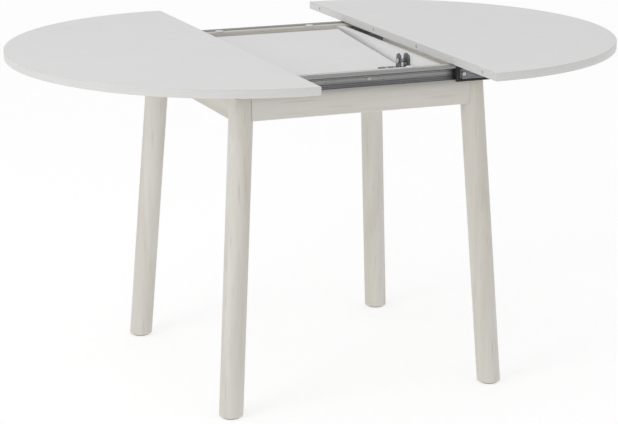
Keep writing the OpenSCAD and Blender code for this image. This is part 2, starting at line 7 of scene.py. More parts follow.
import json
import logging
import math
from dataclasses import dataclass, field
from enum import Enum

import bmesh
import bpy
import numpy as np
import numpy.typing as npt
from mathutils import Matrix, Vector

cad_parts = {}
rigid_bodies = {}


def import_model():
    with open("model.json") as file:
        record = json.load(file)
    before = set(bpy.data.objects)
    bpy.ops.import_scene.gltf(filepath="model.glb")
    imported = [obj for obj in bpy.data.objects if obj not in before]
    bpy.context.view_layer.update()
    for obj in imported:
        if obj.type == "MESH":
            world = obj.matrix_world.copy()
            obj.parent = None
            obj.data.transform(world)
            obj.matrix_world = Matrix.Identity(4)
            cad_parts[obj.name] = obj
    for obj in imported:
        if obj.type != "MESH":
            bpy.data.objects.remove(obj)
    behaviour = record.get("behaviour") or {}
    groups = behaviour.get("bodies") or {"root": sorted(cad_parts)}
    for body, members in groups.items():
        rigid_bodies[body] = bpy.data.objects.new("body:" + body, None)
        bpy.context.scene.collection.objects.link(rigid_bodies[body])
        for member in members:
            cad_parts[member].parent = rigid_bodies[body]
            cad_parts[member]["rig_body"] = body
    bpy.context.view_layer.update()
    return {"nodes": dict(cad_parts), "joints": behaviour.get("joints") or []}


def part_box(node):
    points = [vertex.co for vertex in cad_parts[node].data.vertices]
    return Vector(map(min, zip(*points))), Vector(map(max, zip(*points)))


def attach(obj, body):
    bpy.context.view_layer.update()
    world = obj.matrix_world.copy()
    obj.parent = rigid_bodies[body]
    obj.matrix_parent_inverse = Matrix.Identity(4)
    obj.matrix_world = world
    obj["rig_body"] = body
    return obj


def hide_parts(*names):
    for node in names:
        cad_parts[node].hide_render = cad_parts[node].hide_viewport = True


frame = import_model()

Array = npt.NDArray[np.float64]
Colour = tuple[float, float, float]

MM = 0.001
LOG = logging.getLogger("table")


class Side(Enum):
    """Which half of the table a piece belongs to: its sign along X, and its word in node names."""

    LEFT = -1
    RIGHT = 1

    @property
    def word(self) -> str:
        """The side's name as the nodes spell it."""
        return self.name.lower()


class Outline(Enum):
    """The plan shapes that a board can have."""

    HALF_ROUND = "half round"
    OBLONG = "oblong"


# ---------------------------------------------------------------- materials


class Shader:
    """A material under construction: one Principled shader and the nodes that feed it."""

    def __init__(self, name: str, colour: Colour, roughness: float, metallic: float = 0.0) -> None:
        """Starts a material with a plain shader.

        Args:
            name: the material's name.
            colour: linear base colour.
            roughness: the shader's roughness where no node drives it.
            metallic: 1 for bare metal, 0 for anything else.
        """
        self.material = bpy.data.materials.new(name)
        self.material.use_nodes = True
        self.tree = self.material.node_tree
        self.shader = self.tree.nodes["Principled BSDF"]
        self.shader.inputs["Base Color"].default_value = (*colour, 1.0)
        self.shader.inputs["Roughness"].default_value = roughness
        self.shader.inputs["Metallic"].default_value = metallic

    def link(self, source: bpy.types.NodeSocket, target: bpy.types.NodeSocket) -> None:
        """Joins two sockets."""
        self.tree.links.new(source, target)

    def coords(self, scale: tuple[float, float, float] = (1.0, 1.0, 1.0)) -> bpy.types.NodeSocket:
        """Object coordinates, stretched by a scale along each axis.

        Args:
            scale: how many times the pattern repeats per metre, relative to 1, along X, Y and Z.

        Returns:
            The Mapping node's vector socket.
        """
        place = self.tree.nodes.new("ShaderNodeTexCoord")
        mapping = self.tree.nodes.new("ShaderNodeMapping")
        mapping.inputs["Scale"].default_value = scale
        self.link(place.outputs["Object"], mapping.inputs["Vector"])
        return mapping.outputs["Vector"]

    def noise(self, vector: bpy.types.NodeSocket, scale: float, detail: float = 4.0,
              distortion: float = 0.0) -> bpy.types.NodeSocket:
        """A noise pattern from 0 to 1.

        Args:
            vector: where the pattern is read.
            scale: cells per metre.
            detail: octaves of finer pattern.
            distortion: how far the pattern bends itself.

        Returns:
            The pattern's value socket.
        """
        node = self.tree.nodes.new("ShaderNodeTexNoise")
        node.inputs["Scale"].default_value = scale
        node.inputs["Detail"].default_value = detail
        node.inputs["Distortion"].default_value = distortion
        self.link(vector, node.inputs["Vector"])
        return node.outputs["Fac"]

    def cells(self, vector: bpy.types.NodeSocket, scale: float) -> bpy.types.NodeSocket:
        """Flat random cells, as the spangle of galvanised steel.

        Args:
            vector: where the pattern is read.
            scale: cells per metre.

        Returns:
            The colour socket, one random grey-ish colour per cell.
        """
        node = self.tree.nodes.new("ShaderNodeTexVoronoi")
        node.inputs["Scale"].default_value = scale
        self.link(vector, node.inputs["Vector"])
        return node.outputs["Color"]

    def remap(self, value: bpy.types.NodeSocket, low: float, high: float, start: float = 0.3,
              end: float = 0.7) -> bpy.types.NodeSocket:
        """Stretches a pattern from start..end to low..high.

        Args:
            value: the pattern.
            low: result at start.
            high: result at end.
            start: pattern value that gives low.
            end: pattern value that gives high.

        Returns:
            The result's socket.
        """
        node = self.tree.nodes.new("ShaderNodeMapRange")
        for name, number in (("From Min", start), ("From Max", end), ("To Min", low), ("To Max", high)):
            node.inputs[name].default_value = number
        self.link(value, node.inputs["Value"])
        return node.outputs["Result"]

    def blend(self, factor: bpy.types.NodeSocket, first: Colour, second: Colour) -> bpy.types.NodeSocket:
        """Mixes two colours by a pattern.

        Args:
            factor: 0 gives the first colour, 1 the second.
            first: linear colour.
            second: linear colour.

        Returns:
            The colour socket.
        """
        node = self.tree.nodes.new("ShaderNodeMix")
        node.data_type = "RGBA"
        node.inputs["A"].default_value = (*first, 1.0)
        node.inputs["B"].default_value = (*second, 1.0)
        self.link(factor, node.inputs["Factor"])
        return node.outputs["Result"]

    def overlay(self, factor: bpy.types.NodeSocket, base: bpy.types.NodeSocket,
                second: Colour) -> bpy.types.NodeSocket:
        """Mixes a colour over a pattern of colour.

        Args:
            factor: 0 gives the base, 1 the second colour.
            base: the colour socket underneath.
            second: linear colour on top.

        Returns:
            The colour socket.
        """
        node = self.tree.nodes.new("ShaderNodeMix")
        node.data_type = "RGBA"
        node.inputs["B"].default_value = (*second, 1.0)
        self.link(base, node.inputs["A"])
        self.link(factor, node.inputs["Factor"])
        return node.outputs["Result"]

    def colour(self, source: bpy.types.NodeSocket) -> None:
        """Drives the base colour."""
        self.link(source, self.shader.inputs["Base Color"])

    def roughness(self, source: bpy.types.NodeSocket) -> None:
        """Drives the roughness."""
        self.link(source, self.shader.inputs["Roughness"])

    def bump(self, height: bpy.types.NodeSocket, depth_mm: float, strength: float = 0.5) -> None:
        """Adds relief, on top of any that is there already.

        Args:
            height: pattern from 0 to 1.
            depth_mm: how deep the pattern goes.
            strength: how much of that relief shows.
        """
        node = self.tree.nodes.new("ShaderNodeBump")
        node.inputs["Distance"].default_value = depth_mm * MM
        node.inputs["Strength"].default_value = strength
        self.link(height, node.inputs["Height"])
        normal = self.shader.inputs["Normal"]
        if normal.is_linked:
            self.link(normal.links[0].from_socket, node.inputs["Normal"])
        self.link(node.outputs["Normal"], normal)


@dataclass(frozen=True)
class Laminate:
    """Matt white melamine: an even sheet with a very fine pebble and faint clouding."""

    name: str = "white_laminate"
    colour: Colour = (0.84, 0.84, 0.835)
    cloud: Colour = (0.82, 0.822, 0.82)
    pebble_per_m: float = 1600.0
    cloud_per_m: float = 7.0
    sheen_per_m: float = 35.0
    sheen_low: float = 0.36
    sheen_high: float = 0.46

    def material(self) -> bpy.types.Material:
        """Builds the laminate."""
        paint = Shader(self.name, self.colour, self.sheen_high)
        place = paint.coords()
        paint.colour(paint.blend(paint.remap(paint.noise(place, self.cloud_per_m, 6.0), 0.0, 1.0),
                                 self.colour, self.cloud))
        sheen = paint.noise(place, self.sheen_per_m, 3.0)
        paint.roughness(paint.remap(sheen, self.sheen_low, self.sheen_high))
        paint.bump(paint.noise(place, self.pebble_per_m, 2.0), 0.02, 0.35)
        return paint.material


@dataclass(frozen=True)
class Edging:
    """The plastic band glued round a board: one long satin strip with faint lengthwise drag marks."""

    name: str = "edge_band"
    # Both colours sit darker than the laminate's: painted shade of the rim's upright faces, which get less
    # light than the flat faces. Only the drag marks between the two colours are the band's own.
    colour: Colour = (0.67, 0.667, 0.66)
    shade: Colour = (0.63, 0.627, 0.62)

    def material(self) -> bpy.types.Material:
        """Builds the edge band."""
        paint = Shader(self.name, self.colour, 0.42)
        drag = paint.noise(paint.coords((1.0, 1.0, 60.0)), 12.0, 5.0)
        paint.colour(paint.blend(paint.remap(drag, 0.0, 1.0), self.colour, self.shade))
        paint.roughness(paint.remap(paint.noise(paint.coords(), 90.0, 3.0), 0.34, 0.5))
        paint.bump(drag, 0.03, 0.4)
        return paint.material


@dataclass(frozen=True)
class Whitewash:
    """Whitewashed hardwood: pale stain that has sunk into the pores along the grain."""

    name: str
    along: tuple[float, float, float]
    pale: Colour = (0.665, 0.645, 0.60)
    warm: Colour = (0.585, 0.55, 0.485)
    pore: Colour = (0.45, 0.415, 0.355)
    figure_per_m: float = 22.0
    pore_per_m: float = 190.0

    def material(self) -> bpy.types.Material:
        """Builds the wood, its grain running along the axis where the scale is small."""
        paint = Shader(self.name, self.pale, 0.5)
        grain = paint.coords(self.along)
        figure = paint.noise(grain, self.figure_per_m, 8.0, 1.2)
        pores = paint.noise(grain, self.pore_per_m, 4.0)
        base = paint.blend(paint.remap(figure, 0.0, 1.0, 0.35, 0.72), self.pale, self.warm)
        paint.colour(paint.overlay(paint.remap(pores, 0.0, 0.55, 0.58, 0.78), base, self.pore))
        paint.roughness(paint.remap(figure, 0.42, 0.6))
        paint.bump(pores, 0.12, 0.45)
        paint.bump(figure, 0.2, 0.25)
        return paint.material


@dataclass(frozen=True)
class BareTimber:
    """Planed softwood with strong early and late wood bands."""

    name: str = "bare_timber"
    along: tuple[float, float, float] = (1.0, 0.06, 1.0)
    pale: Colour = (0.62, 0.47, 0.29)
    dark: Colour = (0.47, 0.31, 0.16)

    def material(self) -> bpy.types.Material:
        """Builds the softwood."""
        paint = Shader(self.name, self.pale, 0.62)
        grain = paint.noise(paint.coords(self.along), 55.0, 6.0, 1.8)
        paint.colour(paint.blend(paint.remap(grain, 0.0, 1.0, 0.38, 0.66), self.pale, self.dark))
        paint.bump(grain, 0.15, 0.4)
        return paint.material


@dataclass(frozen=True)
class RolledSteel:
    """Galvanised strip: spangled zinc with fine scratches along the rolling."""

    name: str
    colour: Colour = (0.33, 0.333, 0.33)
    bright: Colour = (0.37, 0.373, 0.37)
    along: tuple[float, float, float] = (0.03, 1.0, 1.0)
    spangle_per_m: float = 420.0
    rough_low: float = 0.36
    rough_high: float = 0.5

    def material(self) -> bpy.types.Material:
        """Builds the galvanised steel."""
        paint = Shader(self.name, self.colour, self.rough_high, 0.85)
        place = paint.coords()
        scratches = paint.noise(paint.coords(self.along), 900.0, 3.0)
        spangle = paint.cells(place, self.spangle_per_m)
        paint.colour(paint.blend(paint.remap(spangle, 0.0, 1.0, 0.2, 0.9), self.colour, self.bright))
        paint.roughness(paint.remap(scratches, self.rough_low, self.rough_high))
        paint.bump(scratches, 0.02, 0.35)
        paint.bump(paint.noise(place, 30.0, 3.0), 0.15, 0.15)
        return paint.material


@dataclass(frozen=True)
class PlatedSteel:
    """Bright zinc plate on turned or pressed fixings."""

    name: str = "zinc_plate"
    colour: Colour = (0.62, 0.63, 0.64)
    tint: Colour = (0.55, 0.565, 0.60)
    patch_per_m: float = 160.0

    def material(self) -> bpy.types.Material:
        """Builds the plate, a little blue in places."""
        paint = Shader(self.name, self.colour, 0.28, 1.0)
        place = paint.coords()
        patches = paint.noise(place, self.patch_per_m, 3.0)
        paint.colour(paint.blend(paint.remap(patches, 0.0, 1.0), self.colour, self.tint))
        paint.roughness(paint.remap(paint.noise(place, 420.0, 4.0), 0.2, 0.42))
        paint.bump(paint.noise(place, 1400.0, 2.0), 0.02, 0.3)
        return paint.material


@dataclass(frozen=True)
class SatinBrass:
    """Brushed brass of the leaf's link hinges."""

    name: str = "satin_brass"
    colour: Colour = (0.68, 0.50, 0.22)
    dull: Colour = (0.52, 0.37, 0.16)
    patch_per_m: float = 120.0

    def material(self) -> bpy.types.Material:
        """Builds the brass."""
        paint = Shader(self.name, self.colour, 0.32, 1.0)
        brushed = paint.noise(paint.coords((1.0, 0.05, 1.0)), 1500.0, 3.0)
        patches = paint.noise(paint.coords(), self.patch_per_m)
        paint.colour(paint.blend(paint.remap(patches, 0.0, 1.0), self.colour, self.dull))
        paint.roughness(paint.remap(brushed, 0.24, 0.44))
        paint.bump(brushed, 0.02, 0.4)
        return paint.material


@dataclass(frozen=True)
class Moulded:
    """Moulded plastic with a fine spark-eroded texture."""

    name: str
    colour: Colour
    worn: Colour
    rough_low: float = 0.38
    rough_high: float = 0.55

    def material(self) -> bpy.types.Material:
        """Builds the plastic."""
        paint = Shader(self.name, self.colour, self.rough_high)
        place = paint.coords()
        paint.colour(paint.blend(paint.remap(paint.noise(place, 60.0, 5.0), 0.0, 1.0, 0.45, 0.8),
                                 self.colour, self.worn))
        paint.roughness(paint.remap(paint.noise(place, 240.0, 3.0), self.rough_low, self.rough_high))
        paint.bump(paint.noise(place, 2600.0, 2.0), 0.03, 0.4)
        return paint.material


@dataclass(frozen=True)
class Felt:
    """Pressed grey felt under the feet."""

    name: str = "felt"
    colour: Colour = (0.17, 0.16, 0.145)
    fluff: Colour = (0.28, 0.265, 0.24)

    def material(self) -> bpy.types.Material:
        """Builds the felt."""
        paint = Shader(self.name, self.colour, 0.95)
        fibres = paint.noise(paint.coords(), 1800.0, 6.0, 2.0)
        paint.colour(paint.blend(paint.remap(fibres, 0.0, 1.0), self.colour, self.fluff))
        paint.shader.inputs["Sheen Weight"].default_value = 0.3
        paint.bump(fibres, 0.4, 0.7)
        return paint.material


@dataclass
class Finishes:
    """Every material of the table, each built once."""

    laminate: bpy.types.Material = field(default_factory=lambda: Laminate().material())
    # The edge band's colour carries painted shade of the board's upright rim.
    edging: bpy.types.Material = field(default_factory=lambda: Edging().material())
    wood_upright: bpy.types.Material = field(
        default_factory=lambda: Whitewash("whitewash_upright", (1.0, 1.0, 0.045)).material())
    wood_along_x: bpy.types.Material = field(
        default_factory=lambda: Whitewash("whitewash_along_x", (0.045, 1.0, 1.0)).material())
    wood_along_y: bpy.types.Material = field(
        default_factory=lambda: Whitewash("whitewash_along_y", (1.0, 0.045, 1.0)).material())
    timber: bpy.types.Material = field(default_factory=lambda: BareTimber().material())
    rail: bpy.types.Material = field(default_factory=lambda: RolledSteel("rolled_rail").material())
    bracket: bpy.types.Material = field(default_factory=lambda: RolledSteel(
        "pressed_bracket", (0.13, 0.132, 0.135), (0.26, 0.262, 0.265)).material())
    plate: bpy.types.Material = field(default_factory=lambda: PlatedSteel().material())
    brass: bpy.types.Material = field(default_factory=lambda: SatinBrass().material())
    black: bpy.types.Material = field(default_factory=lambda: Moulded(
        "black_nylon", (0.006, 0.006, 0.007), (0.014, 0.014, 0.015), 0.55, 0.7).material())
    white: bpy.types.Material = field(default_factory=lambda: Moulded(
        "white_plastic", (0.78, 0.78, 0.77), (0.72, 0.72, 0.71)).material())
    felt: bpy.types.Material = field(default_factory=lambda: Felt().material())


# ---------------------------------------------------------------- shapes


def grid_quads(rows: int, cols: int, wrap: bool) -> npt.NDArray[np.int64]:
    """Corner numbers of the quads of a grid of points.

    The quad at row i, column j joins points (i, j), (i, j+1), (i+1, j+1) and (i+1, j).

    Args:
        rows: points along the first parameter.
        cols: points along the second parameter.
        wrap: whether the last column joins the first.

    Returns:
        One row of four corner numbers per quad.
    """
    last = cols if wrap else cols - 1
    i, j = np.meshgrid(np.arange(rows - 1), np.arange(last), indexing="ij")
    i, j, k = i.ravel(), j.ravel(), (j.ravel() + 1) % cols
    return np.stack([i * cols + j, i * cols + k, (i + 1) * cols + k, (i + 1) * cols + j], axis=1)


def mesh_object(name: str, points: Array, faces: list[list[int]], materials: list[bpy.types.Material],
                slots: list[int] | None = None, sharp_deg: float = 32.0) -> bpy.types.Object:
    """Makes a mesh object at the origin from points and faces, smooth except at its sharp edges.

    Args:
        name: the piece's name.
        points: corner places in metres, one row each.
        faces: corner numbers of each face.
        materials: the piece's material slots.
        slots: each face's slot number, or None for slot 0 everywhere.
        sharp_deg: edges that turn by more than this stay sharp.

    Returns:
        The new object, linked to the scene.
    """
    mesh = bpy.data.meshes.new(name)
    mesh.from_pydata(points.tolist(), [], faces)
    for material in materials:
        mesh.materials.append(material)
    if slots is not None:
        mesh.polygons.foreach_set("material_index", slots)
    mesh.validate()
    tidy_normals(mesh)
    mesh.shade_smooth()
    mesh.set_sharp_from_angle(angle=math.radians(sharp_deg))
    thing = bpy.data.objects.new(name, mesh)
    bpy.context.scene.collection.objects.link(thing)
    return thing


def tidy_normals(mesh: bpy.types.Mesh) -> None:
    """Merges doubled corners of a mesh and turns its faces outwards."""
    work = bmesh.new()
    work.from_mesh(mesh)
    bmesh.ops.remove_doubles(work, verts=work.verts, dist=1e-7)
    bmesh.ops.recalc_face_normals(work, faces=work.faces)
    work.to_mesh(mesh)
    work.free()


def tube(rings: Array) -> tuple[Array, list[list[int]]]:
    """A closed skin through rings of points, with a flat face over each end.

    The rings are rows of the array, and the skin is the grid of quads between neighbours.

    Args:
        rings: points of shape (rings, points per ring, 3).

    Returns:
        The points as rows, and the faces.
    """
    count, around = rings.shape[:2]
    faces = grid_quads(count, around, True).tolist()
    faces.append(list(range(around)))
    faces.append(list(range((count - 1) * around, count * around)))
    return rings.reshape(-1, 3), faces


def half_round_outline(radius: float, inset: float, arc_steps: int = 160, edge_steps: int = 24) -> Array:
    """The outline of a half disc whose straight edge is on x = 0, drawn in by an inset.

    Its straight edge moves to x = inset and its arc to radius - inset, so the corners are where
    x = inset meets the smaller circle: y = the root of (radius - inset) squared less inset squared.

    Args:
        radius: the disc's radius.
        inset: how far every side is drawn in.
        arc_steps: points along the arc.
        edge_steps: points along the straight edge.

    Returns:
        (x, y) rows, once round, counter-clockwise.
    """
    small = radius - inset
    corner = math.asin(inset / small)
    angle = np.linspace(-math.pi / 2 + corner, math.pi / 2 - corner, arc_steps)
    arc = np.stack([small * np.cos(angle), small * np.sin(angle)], axis=1)
    y = np.linspace(arc[-1, 1], arc[0, 1], edge_steps + 1)[1:-1]
    return np.concatenate([arc, np.stack([np.full_like(y, inset), y], axis=1)])


def oblong_outline(width: float, length: float, inset: float, corner: float, steps: int = 6) -> Array:
    """The outline of a rectangle with rounded corners about the origin, drawn in by an inset.

    Each corner is a quarter circle of radius corner - inset, or a point once that is nothing.

    Args:
        width: size along x.
        length: size along y.
        inset: how far every side is drawn in.
        corner: corner radius of the outline that isn't drawn in.
        steps: points along each corner.

    Returns:
        (x, y) rows, once round, counter-clockwise.
    """
    small = max(corner - inset, 0.02 * MM)
    turn = np.linspace(0.0, math.pi / 2, steps)
    quarters = [turn + k * math.pi / 2 for k in range(4)]
    signs = np.array([[1, 1], [-1, 1], [-1, -1], [1, -1]], float)
    centre = np.array([width / 2 - inset - small, length / 2 - inset - small])
    return np.concatenate([
        sign * centre + small * np.stack([np.cos(q), np.sin(q)], axis=1)
        for sign, q in zip(signs, quarters, strict=True)])


@dataclass
class Board:
    """A laminated board with eased edges: two flat faces and a banded rim."""

    outline: Outline
    width: float
    length: float
    thickness: float
    easing: float = 1.1 * MM
    corner: float = 2.0 * MM
    steps: int = 5

    def ring(self, inset: float) -> Array:
        """The board's outline drawn in by an inset."""
        if self.outline is Outline.HALF_ROUND:
            return half_round_outline(self.length / 2, inset)
        return oblong_outline(self.width, self.length, inset, self.corner)

    def build(self, name: str, finishes: Finishes) -> bpy.types.Object:
        """Builds the board with its underside at z = 0.

        The rim's section runs down the quarter circle inset = e(1 - sin a), height = t - e(1 - cos a)
        for a from 0 to 90 degrees, and mirrors it at the bottom. Each face has one more ring a
        little further in, which keeps the flat face flat to the eye.

        Args:
            name: the piece's name.
            finishes: the table's materials.

        Returns:
            The board, its faces in laminate and its rim in edge band.
        """
        turn = np.linspace(0.0, math.pi / 2, self.steps)
        inset = self.easing * (1 - np.sin(turn))
        drop = self.easing * (1 - np.cos(turn))
        margin = 3.0 * self.easing
        insets = np.concatenate([[margin], inset, inset[::-1], [margin]])
        heights = np.concatenate([[0.0], drop, self.thickness - drop[::-1], [self.thickness]])
        flat = [self.ring(value) for value in insets]
        rings = np.stack([
            np.column_stack([ring, np.full(len(ring), z)]) for ring, z in zip(flat, heights, strict=True)])
        points, faces = tube(rings)
        around = rings.shape[1]
        row = np.arange((len(insets) - 1) * around) // around
        rim = ((row > 0) & (row < len(insets) - 2)).astype(int).tolist()
        return mesh_object(name, points, faces, [finishes.laminate, finishes.edging], rim + [0, 0])


def cylinder_cutter(centre: Array, axis: Array, radius: float, length: float,
                    sides: int = 40) -> bpy.types.Object:
    """A round cutter, kept only until it has cut its hole.

    Args:
        centre: middle of the cutter.
        axis: unit direction of its length.
        radius: its radius.
        length: its length.
        sides: facets round it.

    Returns:
        The cutter.
    """
    points, faces = tube(round_rings(centre, axis, np.array([radius, radius]),
                                     np.array([-length / 2, length / 2]), sides))
    return mesh_object("cutter", points, faces, [])


def round_rings(centre: Array, axis: Array, radii: Array, heights: Array, sides: int) -> Array:
    """Rings of a turned shape: ring k is a circle of radius radii[k] at heights[k] along the axis.

    Args:
        centre: where height 0 is.
        axis: unit direction of the turning axis.
        radii: one radius per ring.
        heights: one height per ring.
        sides: points round each ring.

    Returns:
        Points of shape (rings, sides, 3).
    """
    side, other = cross_axes(axis)
    angle = np.linspace(0.0, 2 * math.pi, sides, endpoint=False)
    circle = np.cos(angle)[:, None] * side + np.sin(angle)[:, None] * other
    return centre + heights[:, None, None] * axis + radii[:, None, None] * circle


def cross_axes(axis: Array) -> tuple[Array, Array]:
    """Two unit directions square to an axis and to each other."""
    helper = np.array([0.0, 0.0, 1.0]) if abs(axis[2]) < 0.9 else np.array([1.0, 0.0, 0.0])
    side = np.cross(axis, helper)
    side /= np.linalg.norm(side)
    return side, np.cross(axis, side)


def box_cutter(low: Array, high: Array) -> bpy.types.Object:
    """A square cutter between two corners, kept only until it has cut its recess."""
    x, y = np.array([low[0], high[0], high[0], low[0]]), np.array([low[1], low[1], high[1], high[1]])
    rings = np.stack([np.column_stack([x, y, np.full(4, z)]) for z in (low[2], high[2])])
    points, faces = tube(rings)
    return mesh_object("cutter", points, faces, [])


def cut(thing: bpy.types.Object, cutters: list[bpy.types.Object], sharp_deg: float = 32.0) -> None:
    """Takes cutters out of a piece for good, and removes them.

    Args:
        thing: the piece to cut.
        cutters: closed shapes to take away.
        sharp_deg: edges that turn by more than this stay sharp.
    """
    for cutter in cutters:
        tool = thing.modifiers.new("cut", "BOOLEAN")
        tool.operation, tool.solver, tool.object = "DIFFERENCE", "EXACT", cutter
    bake(thing)
    thing.data.set_sharp_from_angle(angle=math.radians(sharp_deg))
    for cutter in cutters:
        bpy.data.objects.remove(cutter)


def bake(thing: bpy.types.Object) -> None:
    """Replaces a piece's mesh by what its modifiers make of it."""
    graph = bpy.context.evaluated_depsgraph_get()
    made = bpy.data.meshes.new_from_object(thing.evaluated_get(graph))
    thing.modifiers.clear()
    thing.data = made


def place(thing: bpy.types.Object, matrix: Matrix) -> None:
    """Moves a piece's mesh, leaving its object at the origin."""
    thing.data.transform(matrix)
    if matrix.determinant() < 0:
        thing.data.flip_normals()


def strip_section(path: Array, thickness: float, bend: float, steps: int = 5) -> Array:
    """The outline of sheet metal bent along a path of corners.

    Every inner corner of the path is first replaced by an arc of radius bend, whose points are
    corner + bend * (a blend of the two side directions) on a circle that touches both sides. The
    outline is then the path moved by half the thickness along its left normals, and back along
    its right normals.

    Args:
        path: corners of the sheet's middle line, as (x, y) rows.
        thickness: the sheet's thickness.
        bend: radius of the middle line at each bend.
        steps: points along each bend.

    Returns:
        (x, y) rows, once round.
    """
    line = [path[0]]
    for before, corner, after in zip(path[:-2], path[1:-1], path[2:], strict=True):
        into = (corner - before) / np.linalg.norm(corner - before)
        out = (after - corner) / np.linalg.norm(after - corner)
        half = math.acos(float(np.clip(into @ out, -1.0, 1.0))) / 2
        shorter = min(np.linalg.norm(corner - before), np.linalg.norm(after - corner))
        reach = min(bend * math.tan(half), 0.45 * shorter)
        start, end = corner - reach * into, corner + reach * out
        t = np.linspace(0.0, 1.0, steps)[:, None]
        line.extend((1 - t) ** 2 * start + 2 * t * (1 - t) * corner + t ** 2 * end)
    line.append(path[-1])
    middle = np.array(line)
    along = np.gradient(middle, axis=0)
    along /= np.linalg.norm(along, axis=1)[:, None]
    normal = np.stack([-along[:, 1], along[:, 0]], axis=1) * thickness / 2
    return np.concatenate([middle + normal, (middle - normal)[::-1]])


def extrude_x(section: Array, x_low: float, x_high: float) -> tuple[Array, list[list[int]]]:
    """A bar along X: every ring is the same (y, z) section at another x.

    Args:
        section: (y, z) rows, once round.
        x_low: where the bar starts.
        x_high: where it ends.

    Returns:
        The points as rows, and the faces.
    """
    rings = np.stack([np.column_stack([np.full(len(section), x), section]) for x in (x_low, x_high)])
    return tube(rings)


def node_solids(node: str) -> list[tuple[Array, Array]]:
    """The separate solids of a CAD node.

    Corners in the same place are one point, every triangle gives its three points the lowest of
    their labels, and that is repeated until no label changes.

    Args:
        node: the CAD node's name.

    Returns:
        For each solid its triangles' corners, shape (triangles, 3, 3), and its lowest and highest
        corner, sorted by place.
    """
    mesh = frame["nodes"][node].data
    mesh.calc_loop_triangles()
    places = np.empty(len(mesh.vertices) * 3)
    mesh.vertices.foreach_get("co", places)
    corners = np.empty(len(mesh.loop_triangles) * 3, np.int32)
    mesh.loop_triangles.foreach_get("vertices", corners)
    points = places.reshape(-1, 3)
    _, same = np.unique(np.round(points / (0.002 * MM)).astype(np.int64), axis=0, return_inverse=True)
    triangles = same.ravel()[corners.reshape(-1, 3)]
    label = np.arange(same.max() + 1)
    while True:
        lowest = label[triangles].min(axis=1)
        fresh = label.copy()
        np.minimum.at(fresh, triangles.ravel(), np.repeat(lowest, 3))
        if np.array_equal(fresh, label):
            break
        label = fresh
    owner = label[triangles[:, 0]]
    shape = points[corners].reshape(-1, 3, 3)
    found = [shape[owner == one] for one in np.unique(owner)]
    boxes = [(f, np.stack([f.reshape(-1, 3).min(0), f.reshape(-1, 3).max(0)])) for f in found]
    return sorted(boxes, key=lambda pair: tuple(np.round(pair[1].mean(0), 5)))


def flat_axis(triangles: Array) -> tuple[Array, float]:
    """The direction that most of a solid's surface faces, and how far out that face is.

    Args:
        triangles: corner places, shape (triangles, 3, 3).

    Returns:
        The unit direction, and the highest point along it.
    """
    normal = np.cross(triangles[:, 1] - triangles[:, 0], triangles[:, 2] - triangles[:, 0])
    area = np.linalg.norm(normal, axis=1)
    unit = normal / np.maximum(area, 1e-15)[:, None]
    _, group = np.unique(np.round(unit, 2), axis=0, return_inverse=True)
    total = np.bincount(group.ravel(), weights=area)
    best = unit[group.ravel() == total.argmax()].mean(0)
    best /= np.linalg.norm(best)
    return best, float((triangles.reshape(-1, 3) @ best).max())


# ---------------------------------------------------------------- making and dressing pieces


def stand_for(thing: bpy.types.Object, node: str) -> bpy.types.Object:
    """Lets a piece stand for one CAD node, on that node's body.

    Args:
        thing: the piece.
        node: the CAD node that it replaces.

    Returns:
        The piece.
    """
    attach(thing, frame["nodes"][node]["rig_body"])
    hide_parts(node)
    LOG.info("%s stands for %s", thing.name, node)
    return thing


def eased(node: str, material: bpy.types.Material, width: float = 0.5 * MM, segments: int = 2,
          sharp_deg: float = 35.0) -> bpy.types.Object:
    """A copy of a CAD node with its sharp edges rounded over.

    Args:
        node: the CAD node that the copy stands for.
        material: its finish.
        width: how far the rounding reaches from each edge.
        segments: facets across the rounding.
        sharp_deg: edges that turn by more than this are rounded.

    Returns:
        The new piece.
    """
    work = bmesh.new()
    work.from_mesh(frame["nodes"][node].data)
    bmesh.ops.remove_doubles(work, verts=work.verts, dist=0.002 * MM)
    bmesh.ops.dissolve_limit(work, angle_limit=math.radians(0.6), verts=work.verts, edges=work.edges)
    bmesh.ops.recalc_face_normals(work, faces=work.faces)
    mesh = bpy.data.meshes.new(node + "_eased")
    work.to_mesh(mesh)
    work.free()
    mesh.materials.clear()
    mesh.materials.append(material)
    mesh.shade_smooth()
    thing = bpy.data.objects.new(node + "_eased", mesh)
    bpy.context.scene.collection.objects.link(thing)
    rounding = thing.modifiers.new("easing", "BEVEL")
    rounding.width, rounding.segments = width, segments
    rounding.limit_method, rounding.angle_limit = "ANGLE", math.radians(sharp_deg)
    rounding.harden_normals = True
    bake(thing)
    thing.data.set_sharp_from_angle(angle=math.radians(sharp_deg))
    return stand_for(thing, node)


